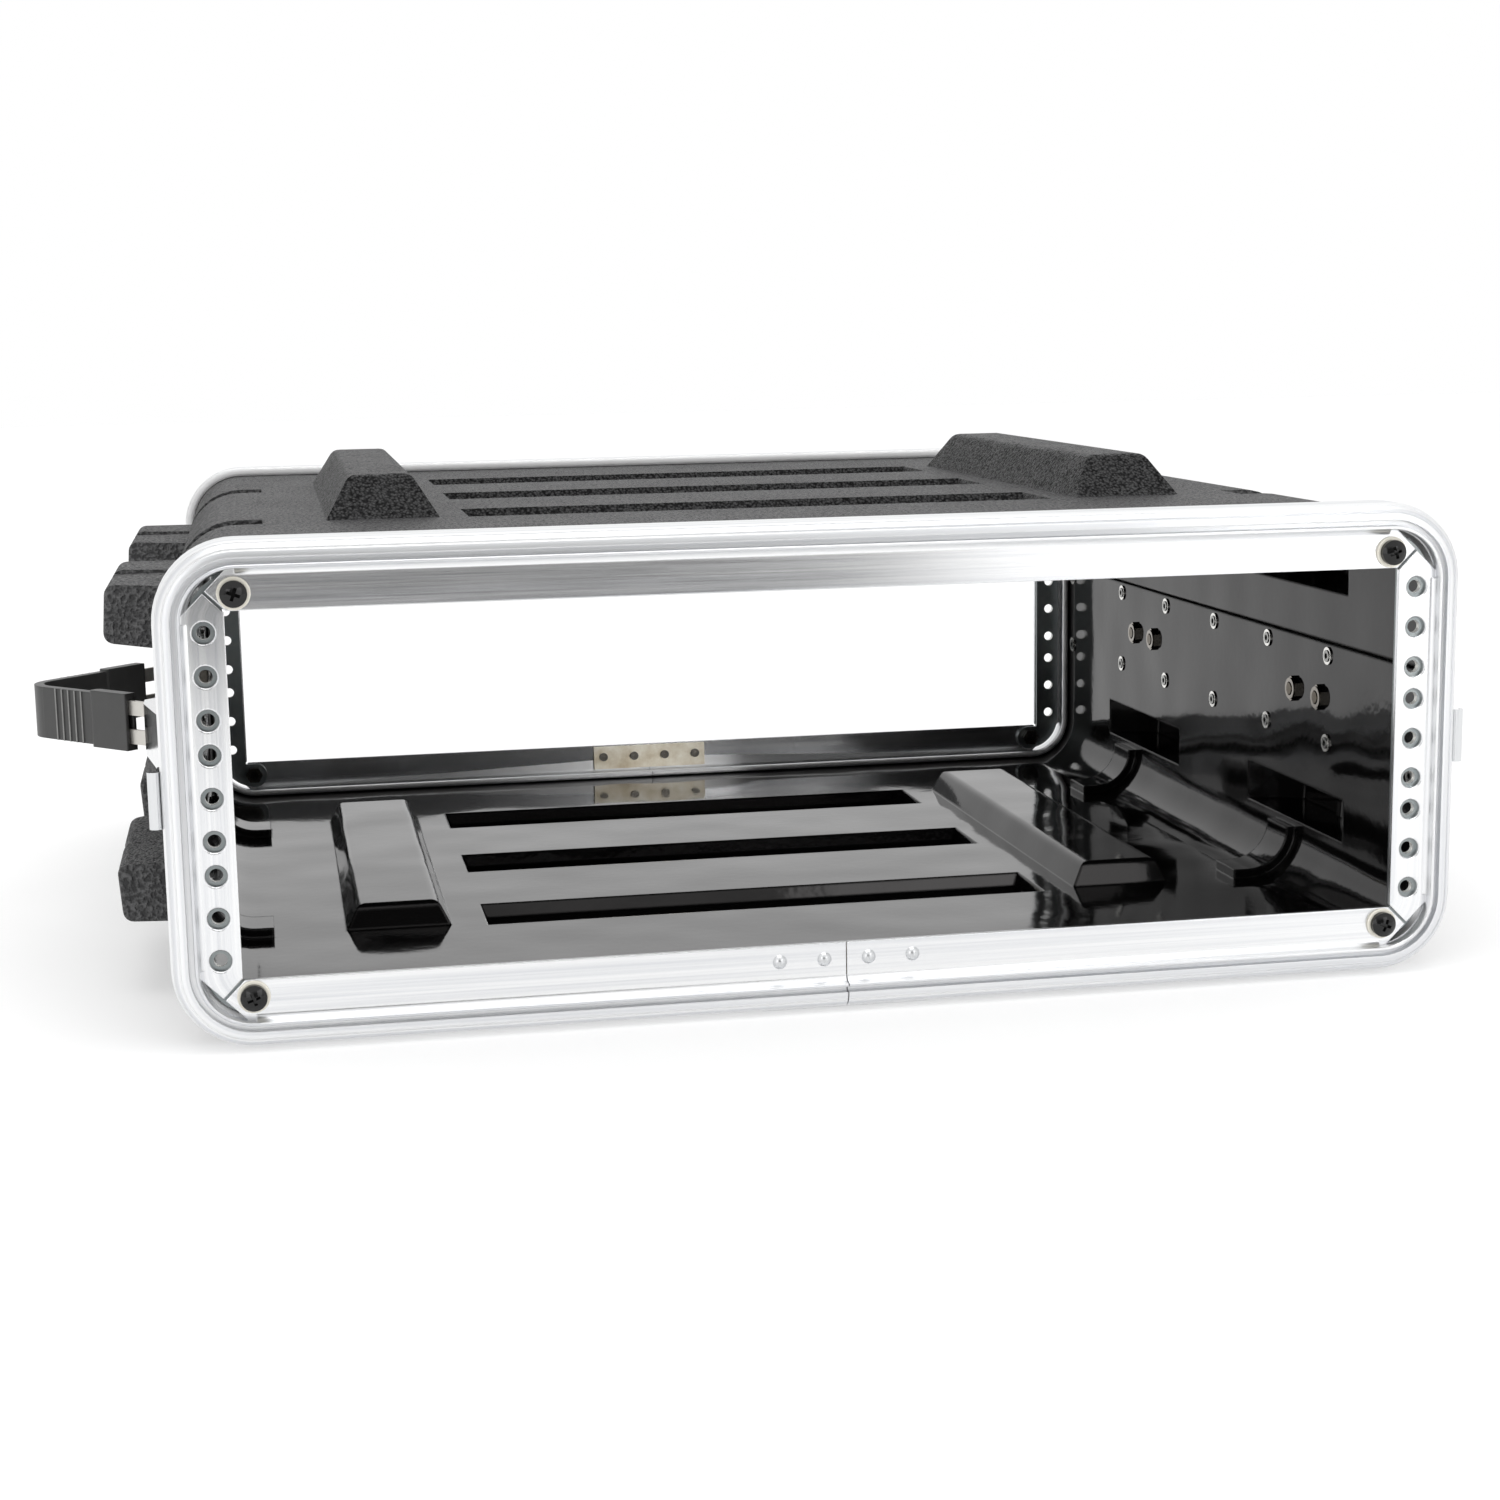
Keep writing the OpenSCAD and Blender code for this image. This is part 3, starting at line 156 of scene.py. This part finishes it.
def is_rim(face):
    """A face of the shell edge or of a bore, which parts the inside from the outside."""
    x, y, z = face.calc_center_median()
    at_end = abs(y) > SHELL_END and abs(face.normal.y) > 0.9
    in_wall = INNER_WALL[0] < abs(x) < INNER_WALL[1] and RIVET_BAND[0] < z < RIVET_BAND[1]
    return at_end or (in_wall and abs(face.normal.x) < 0.1)


def inner_faces(node, down):
    """Numbers of the faces on the inside of a shell, from the middle of its flat wall."""
    mesh = bmesh.new()
    mesh.from_mesh(node.data)
    number = mesh.faces.layers.int.new("number")
    for face in mesh.faces:
        face[number] = face.index
    bmesh.ops.remove_doubles(mesh, verts=mesh.verts, dist=1e-6)
    inward = Vector((0, 0, 1 if down else -1))
    flat = [f for f in mesh.faces if f.normal.dot(inward) > 0.999]
    start = min(flat, key=lambda f: f.calc_center_median().xy.length)
    found, edge = {start}, [start]
    while edge:
        face = edge.pop()
        for side in face.edges:
            for other in side.link_faces:
                if other not in found and not is_rim(other):
                    found.add(other)
                    edge.append(other)
    numbers = {face[number] for face in found}
    mesh.free()
    return numbers


for name, down in (("lower_shell", True), ("upper_shell", False)):
    shell = nodes[name]
    shell.data.materials.clear()
    shell.data.materials.append(pebbled_plastic)
    shell.data.materials.append(gloss_plastic)
    inside = inner_faces(shell, down)
    for face in shell.data.polygons:
        face.material_index = int(face.index in inside)


# Front and rear frames: an aluminium extrusion, bent round four corners and clamped over
# the shell ends. Fine drawing lines run along it, the lip over the shells is left rough,
# and the strip under the joint is the same metal.
def dress(material, *names):
    """Gives CAD pieces one material."""
    for name in names:
        nodes[name].data.materials.clear()
        nodes[name].data.materials.append(material)


def face_finish(material, names, chosen):
    """Gives a second material to those faces of CAD pieces that pass a test."""
    for name in names:
        mesh = nodes[name].data
        mesh.materials.append(material)
        for face in mesh.polygons:
            face.material_index = int(chosen(face))


CORNER_X, CORNER_Z, AXIS_Z, FLANGE_EDGE = 0.2206, 0.0636, 0.095, 0.0185
SHELL_SIDE, SHELL_RISE = 0.235, 0.08
DRAWN_LINES, DRAWN_BANDS, LINE_DRIFT = 3200.0, 420.0, 0.006
FRAME_EDGE, LIP_EDGE = 0.0007, 0.003

drawn_aluminium, metal, place = finish("drawn_aluminium", (0.82, 0.825, 0.83), 1.0, 0.22)
x, y, z = wire(drawn_aluminium, "SeparateXYZ", {"Vector": place}).values()
across = math_node(drawn_aluminium, "ABSOLUTE", x)
across = math_node(drawn_aluminium, "SUBTRACT", across, CORNER_X)
upward = math_node(drawn_aluminium, "SUBTRACT", z, AXIS_Z)
upward = math_node(drawn_aluminium, "ABSOLUTE", upward)
upward = math_node(drawn_aluminium, "SUBTRACT", upward, CORNER_Z)
corner = wire(drawn_aluminium, "CombineXYZ", {
    "X": math_node(drawn_aluminium, "MAXIMUM", across, 0.0),
    "Y": math_node(drawn_aluminium, "MAXIMUM", upward, 0.0),
})["Vector"]
corner = wire(drawn_aluminium, "VectorMath", {0: corner}, operation="LENGTH")["Value"]
flat_side = math_node(drawn_aluminium, "MAXIMUM", across, upward)
flat_side = math_node(drawn_aluminium, "MINIMUM", flat_side, 0.0)
outward = math_node(drawn_aluminium, "ADD", corner, flat_side)
run = math_node(drawn_aluminium, "ADD", x, z)
run = math_node(drawn_aluminium, "MULTIPLY", run, LINE_DRIFT)
section = wire(drawn_aluminium, "CombineXYZ", {"X": outward, "Y": y, "Z": run})["Vector"]
lines = noise(drawn_aluminium, section, DRAWN_LINES, 3.0, 0.7)
bands = noise(drawn_aluminium, section, DRAWN_BANDS, 2.0)
bands = spread(drawn_aluminium, bands, 0.0, 1.0, 0.38, 0.62)
tone = blend(drawn_aluminium, bands, (0.72, 0.73, 0.75), (0.88, 0.885, 0.89))
link(drawn_aluminium, tone, metal["Base Color"])
satin = spread(drawn_aluminium, outward, 0.0, 0.2, FLANGE_EDGE - 0.002, FLANGE_EDGE + 0.002)
lines = spread(drawn_aluminium, lines, 0.16, 0.26, 0.25, 0.75)
link(drawn_aluminium, math_node(drawn_aluminium, "ADD", satin, lines), metal["Roughness"])
link(drawn_aluminium, round_edges(drawn_aluminium, FRAME_EDGE), metal["Normal"])
dress(drawn_aluminium, "front_frame", "rear_frame", "front_joint_strip", "rear_joint_strip")

lip_aluminium, metal, place = finish("lip_aluminium", (0.93, 0.93, 0.93), 1.0, 0.65)
rough = noise(lip_aluminium, place, 300.0, 3.0)
link(lip_aluminium, spread(lip_aluminium, rough, 0.55, 0.75), metal["Roughness"])
link(lip_aluminium, round_edges(lip_aluminium, LIP_EDGE), metal["Normal"])


def faces_shell(face):
    """A face of the lip that looks towards the other frame, over the shells."""
    x, y, z = face.center
    over_shell = abs(x) > SHELL_SIDE or abs(z - AXIS_Z) > SHELL_RISE
    return over_shell and math.copysign(1, -y) * face.normal.y > 0.7


face_finish(lip_aluminium, ("front_frame", "rear_frame"), faces_shell)


# Splice plates: strips of nickel-plated steel behind the butt joints of the frames, held
# by four rivets each and stained brown by handling.
splice_nickel, metal, place = finish("splice_nickel", (0.86, 0.82, 0.72), 1.0, 0.55)
stain = noise(splice_nickel, place, 90.0, 5.0, 0.6)
brown = spread(splice_nickel, stain, 0.0, 1.0, 0.35, 0.7)
tone = blend(splice_nickel, brown, (0.92, 0.88, 0.77), (0.66, 0.57, 0.42))
link(splice_nickel, tone, metal["Base Color"])
link(splice_nickel, spread(splice_nickel, stain, 0.5, 0.64), metal["Roughness"])
dress(splice_nickel, "front_splice_plate", "rear_splice_plate")


# Rivets of the frame joints: soft aluminium, dull from the setting tool. Their tails on
# the plate are painted dark, as painted shade for their hollow ends.
PLATE_FACE = 0.2345

rivet_aluminium, metal, place = finish("rivet_metal", (0.68, 0.69, 0.70), 1.0, 0.3)
dents = noise(rivet_aluminium, place, 900.0, 3.0)
link(rivet_aluminium, spread(rivet_aluminium, dents, 0.24, 0.42), metal["Roughness"])
bump = wire(rivet_aluminium, "Bump", {"Height": dents, "Strength": 0.2, "Distance": 0.0002})
link(rivet_aluminium, bump["Normal"], metal["Normal"])
dress(rivet_aluminium, "front_splice_rivets", "rear_splice_rivets")

# Painted shade: the rivet tails on the plate are coloured dark for their hollow ends.
tail_painted_shade, metal, place = finish("tail_painted_shade", (0.14, 0.13, 0.115), 1.0, 0.4)
dents = noise(tail_painted_shade, place, 900.0, 3.0)
link(tail_painted_shade, spread(tail_painted_shade, dents, 0.3, 0.5), metal["Roughness"])
face_finish(tail_painted_shade, ("front_splice_rivets", "rear_splice_rivets"),
            lambda face: abs(face.center.y) < PLATE_FACE)


# Rivets along both side walls, which hold the flap of the upper shell to the lower one:
# steel, smooth, set from the inside, and painted dark as painted shade for their hollow ends.
# Painted shade: the rivets are coloured dark for the shade in their hollow set ends.
rivet_steel_painted_shade, metal, place = finish("rivet_steel_painted_shade", (0.30, 0.30, 0.29), 1.0, 0.26)
dents = noise(rivet_steel_painted_shade, place, 900.0, 3.0)
link(rivet_steel_painted_shade, spread(rivet_steel_painted_shade, dents, 0.18, 0.34), metal["Roughness"])
dress(rivet_steel_painted_shade, "shell_rivets_left", "shell_rivets_right")


# Rack rails behind the side flanges: zinc-plated steel strip, held by the corner screws,
# its zinc painted darker as painted shade for the rail seen through the flange holes.
# The threads of its holes are cut after plating, bare steel painted brighter as painted light
# inside the holes.
RAILS = ("rack_rail_front_left", "rack_rail_front_right",
         "rack_rail_rear_left", "rack_rail_rear_right")
HOLE_X, HOLE_RADIUS = 0.23255, 0.0035
THREAD_PITCH, WAVE_UNIT = 0.0008, 0.314

# Painted shade: the zinc colour is darkened for the rail seen in shadow through the holes.
rail_zinc_painted_shade, metal, place = finish("zinc_plate_painted_shade", (0.27, 0.29, 0.295), 1.0, 0.34)
cloud = noise(rail_zinc_painted_shade, place, 160.0, 4.0, 0.6)
tone = blend(rail_zinc_painted_shade, cloud, (0.20, 0.23, 0.24), (0.33, 0.345, 0.34))
link(rail_zinc_painted_shade, tone, metal["Base Color"])
link(rail_zinc_painted_shade, spread(rail_zinc_painted_shade, cloud, 0.26, 0.42), metal["Roughness"])
dress(rail_zinc_painted_shade, *RAILS)

# Painted light: the thread colour is raised so the inside of each hole looks lit.
thread_steel_painted_light, metal, place = finish("thread_steel_painted_light", (0.9, 0.9, 0.87), 1.0, 0.45)
wear = noise(thread_steel_painted_light, place, 900.0, 2.0)
link(thread_steel_painted_light, spread(thread_steel_painted_light, wear, 0.36, 0.56), metal["Roughness"])
turns = wire(thread_steel_painted_light, "TexWave", {"Vector": place, "Scale": WAVE_UNIT / THREAD_PITCH},
             bands_direction="Y")["Fac"]
bump = wire(thread_steel_painted_light, "Bump", {"Height": turns, "Strength": 1.0, "Distance": 0.0004})
link(thread_steel_painted_light, bump["Normal"], metal["Normal"])


def in_hole(face):
    """A face of the wall of a tapped hole."""
    off_axis = abs(abs(face.center.x) - HOLE_X)
    return abs(face.normal.y) < 0.3 and off_axis < HOLE_RADIUS


face_finish(thread_steel_painted_light, RAILS, in_hole)


# Corner screws: steel under a gloss black lacquer, with crossed recesses. They hold the
# rails to the flanges.
screw_black, lacquer, place = finish("black_lacquer", (0.008, 0.008, 0.008), 0.0, 0.07)
rub = noise(screw_black, place, 700.0, 3.0)
link(screw_black, spread(screw_black, rub, 0.05, 0.14), lacquer["Roughness"])
lacquer["IOR"].default_value = 1.42
dress(screw_black, "corner_screws_front", "corner_screws_rear")


# Washers under the corner screws: moulded nylon, cream and a little cloudy, with a rounded
# rim that stands out round each screw head.
nylon, body, place = finish("washer_nylon", (0.84, 0.81, 0.72), 0.0, 0.38)
cloud = noise(nylon, place, 400.0, 3.0)
tone = blend(nylon, cloud, (0.86, 0.83, 0.75), (0.80, 0.76, 0.65))
link(nylon, tone, body["Base Color"])
link(nylon, spread(nylon, cloud, 0.3, 0.5), body["Roughness"])
dress(nylon, "corner_washers_front", "corner_washers_rear")


# Washers under the set ends of the shell rivets, on the inner walls: turned steel with a
# bright nickel plating, ringed by the lathe.
washer_nickel, metal, place = finish("washer_metal", (0.80, 0.79, 0.76), 1.0, 0.24)
rings = noise(washer_nickel, place, 1200.0, 2.0)
link(washer_nickel, spread(washer_nickel, rings, 0.16, 0.34), metal["Roughness"])
dress(washer_nickel, "rivet_washers_left", "rivet_washers_right")


# Nuts behind the corner screws and on the handle studs: steel with a dark passivation.
# The handle nuts show a faced end, which is brighter.
nut_steel, metal, place = finish("nut_steel", (0.17, 0.16, 0.145), 1.0, 0.16)
cloud = noise(nut_steel, place, 500.0, 3.0)
tone = blend(nut_steel, cloud, (0.20, 0.19, 0.175), (0.13, 0.115, 0.09))
link(nut_steel, tone, metal["Base Color"])
link(nut_steel, spread(nut_steel, cloud, 0.1, 0.24), metal["Roughness"])
dress(nut_steel, "corner_nuts_front", "corner_nuts_rear", "handle_nuts_left", "handle_nuts_right")

nut_face, metal, place = finish("faced_steel", (0.27, 0.25, 0.225), 1.0, 0.2)
turned = noise(nut_face, place, 800.0, 3.0)
link(nut_face, spread(nut_face, turned, 0.12, 0.3), metal["Roughness"])
face_finish(nut_face, ("handle_nuts_left", "handle_nuts_right"),
            lambda face: abs(face.normal.x) > 0.3)


# Studs of the handle brackets: steel with a dark yellow zinc finish, set into the feet of
# the brackets and put through the side walls.
stud_zinc, metal, place = finish("yellow_zinc", (0.085, 0.068, 0.045), 1.0, 0.24)
cloud = noise(stud_zinc, place, 700.0, 3.0)
link(stud_zinc, spread(stud_zinc, cloud, 0.16, 0.32), metal["Roughness"])
dress(stud_zinc, "handle_bolts_left", "handle_bolts_right")


# Strap handles: moulded rubber with a satin skin, on a link at each end. The raised lines
# lie a little below the faces of the boots, and are coloured paler than the rest.
LINE_DROP = (0.0001, 0.0002)
STRAP_EDGE = 0.0012

grip_rubber, rubber, place = finish("satin_rubber", (0.04, 0.04, 0.04), 0.0, 0.42)
skin = noise(grip_rubber, place, 1500.0, 2.0)
rub = noise(grip_rubber, place, 120.0, 4.0)
tone = blend(grip_rubber, rub, (0.03, 0.03, 0.03), (0.052, 0.052, 0.051))
link(grip_rubber, tone, rubber["Base Color"])
link(grip_rubber, spread(grip_rubber, rub, 0.34, 0.5), rubber["Roughness"])
bump = wire(grip_rubber, "Bump", {
    "Height": skin, "Strength": 0.15, "Distance": 0.0002,
    "Normal": round_edges(grip_rubber, STRAP_EDGE),
})
link(grip_rubber, bump["Normal"], rubber["Normal"])
dress(grip_rubber, "handle_grip_left", "handle_grip_right")

pale_lines, body, place = finish("pale_line_rubber", (0.20, 0.20, 0.195), 0.0, 0.5)
rub = noise(pale_lines, place, 300.0, 3.0)
tone = blend(pale_lines, rub, (0.14, 0.14, 0.137), (0.27, 0.27, 0.262))
link(pale_lines, tone, body["Base Color"])
for name in ("handle_grip_left", "handle_grip_right"):
    grip = nodes[name].data
    grip.materials.append(pale_lines)
    planes = {}
    for face in grip.polygons:
        way = tuple(round(part, 2) for part in face.normal)
        planes.setdefault(way, []).append((face.normal.dot(face.center), face.index))
    for faces in planes.values():
        boot_face = max(faces)[0]
        for height, index in faces:
            on_line = LINE_DROP[0] < boot_face - height < LINE_DROP[1]
            grip.polygons[index].material_index = int(on_line)


# Handle links: pressed steel with a satin plating, warm grey. Their prongs hold the boots
# of the strap, and their other ends slide in the brackets.
link_steel, metal, place = finish("satin_plate", (0.62, 0.60, 0.56), 0.9, 0.38)
haze = noise(link_steel, place, 500.0, 3.0)
link(link_steel, spread(link_steel, haze, 0.3, 0.46), metal["Roughness"])
dress(link_steel, *(n for n in nodes if n.startswith("handle_link")))


# Handle brackets and latch keepers: pressed steel, chromed. Studs hold the brackets to the
# side walls, and rivets hold the keepers to the frames.
chrome, metal, place = finish("chrome", (0.68, 0.69, 0.70), 1.0, 0.12)
haze = noise(chrome, place, 220.0, 4.0)
link(chrome, spread(chrome, haze, 0.06, 0.2), metal["Roughness"])
CHROMED = ("handle_bracket", "latch_keeper", "keeper_rivets")
dress(chrome, *(n for n in nodes if n.startswith(CHROMED)))


# Floor: a wide pale sheet of paper, lit from below. It ends a little more than a metre
# before the case.
FLOOR_FRONT, FLOOR_BACK, FLOOR_SIDE = -1.3, 6.0, 5.0
sheet = bmesh.new()
bmesh.ops.create_grid(
    sheet, x_segments=8, y_segments=8, size=0.5,
    matrix=Matrix.Translation((0, (FLOOR_FRONT + FLOOR_BACK) / 2, 0))
    @ Matrix.Diagonal((2 * FLOOR_SIDE, FLOOR_BACK - FLOOR_FRONT, 1, 1)),
)
floor_mesh = bpy.data.meshes.new("floor")
sheet.to_mesh(floor_mesh)
sheet.free()
floor = bpy.data.objects.new("floor", floor_mesh)
scene.collection.objects.link(floor)
paper, pulp, place = finish("white_paper", (0.6, 0.6, 0.6), 0.0, 0.9)
pulp["Emission Color"].default_value = (1, 1, 1, 1)
pulp["Emission Strength"].default_value = 0.4
floor.data.materials.append(paper)


# Soft studio light: a large lamp over the case, one on each side of the front, a narrow one
# on the rear joint, and a white surround, which is dark only behind the camera.
DARK_CORE, DARK_RIM, DARK_LEVEL = math.radians(38), math.radians(55), 0.05


def set_lamp(lamp, power, where, towards):
    """Gives a lamp its power and aims it."""
    lamp.energy = power
    lamp_object = bpy.data.objects.new(lamp.name, lamp)
    lamp_object.location = where
    aim = Vector(towards) - Vector(where)
    lamp_object.rotation_euler = aim.to_track_quat("-Z", "Y").to_euler()
    scene.collection.objects.link(lamp_object)


def soft_lamp(name, where, towards, size, power):
    """A lamp behind a sheet of so many metres."""
    lamp = bpy.data.lights.new(name, "AREA")
    lamp.shape = "RECTANGLE"
    lamp.size, lamp.size_y = size
    set_lamp(lamp, power, where, towards)


soft_lamp("lamp_over", (0.0, -0.5, 2.2), (0.0, 0.0, 0.1), (1.8, 1.4), 16.0)
soft_lamp("lamp_front", (1.14, -2.28, 0.55), (0.0, 0.0, 0.3), (1.1, 1.9), 10.0)
soft_lamp("lamp_left", (-1.25, -2.0, 0.3), (-0.25, 0.0, 0.1), (0.9, 1.6), 8.0)

snoot = bpy.data.lights.new("lamp_inside", "SPOT")
snoot.spot_size, snoot.spot_blend = math.radians(3), 0.8
snoot.shadow_soft_size = 0.06
set_lamp(snoot, 110.0, (0.88, -2.05, 0.47), (0.0, 0.235, 0.02))

surround = bpy.data.worlds.new("white_surround")
surround.use_nodes = True
background = surround.node_tree.nodes["Background"].inputs
background["Color"].default_value = (1, 1, 1, 1)
direction = wire(surround, "TexCoord", {})["Generated"]
squat = wire(surround, "VectorMath", {0: direction, 1: (1, 1, 2)}, operation="MULTIPLY")["Vector"]
squat = wire(surround, "VectorMath", {0: squat}, operation="NORMALIZE")["Vector"]
front = (0, -1, 0)
toward = wire(surround, "VectorMath", {0: squat, 1: front}, operation="DOT_PRODUCT")["Value"]
glow = spread(surround, toward, 1.0, DARK_LEVEL, math.cos(DARK_RIM), math.cos(DARK_CORE))
seen = wire(surround, "LightPath", {})["Is Camera Ray"]
link(surround, math_node(surround, "MAXIMUM", glow, seen), background["Strength"])
scene.world = surround


# Camera: fitted to the rack holes of both frames, so that the case lies in the picture as
# it does in the photograph.
FOCAL_PIXELS, IMAGE_PIXELS = 2501.77, 1500
CAMERA_PLACE = (-0.2089, -1.1458, 0.2634)
yaw, pitch, roll = 0.1897, -0.1712, -0.0163

ahead = Vector((
    math.sin(yaw) * math.cos(pitch), math.cos(yaw) * math.cos(pitch), math.sin(pitch),
))
level = Vector((math.cos(yaw), -math.sin(yaw), 0))
above = level.cross(ahead)
right = math.cos(roll) * level + math.sin(roll) * above
up = math.cos(roll) * above - math.sin(roll) * level
camera = bpy.data.cameras.new("camera")
camera.sensor_width = 36.0
camera.lens = camera.sensor_width * FOCAL_PIXELS / IMAGE_PIXELS
camera_object = bpy.data.objects.new("camera", camera)
turn = Matrix((right, up, -ahead)).transposed()
camera_object.matrix_world = Matrix.Translation(CAMERA_PLACE) @ turn.to_4x4()
scene.collection.objects.link(camera_object)
scene.camera = camera_object
scene.view_settings.view_transform = "Standard"
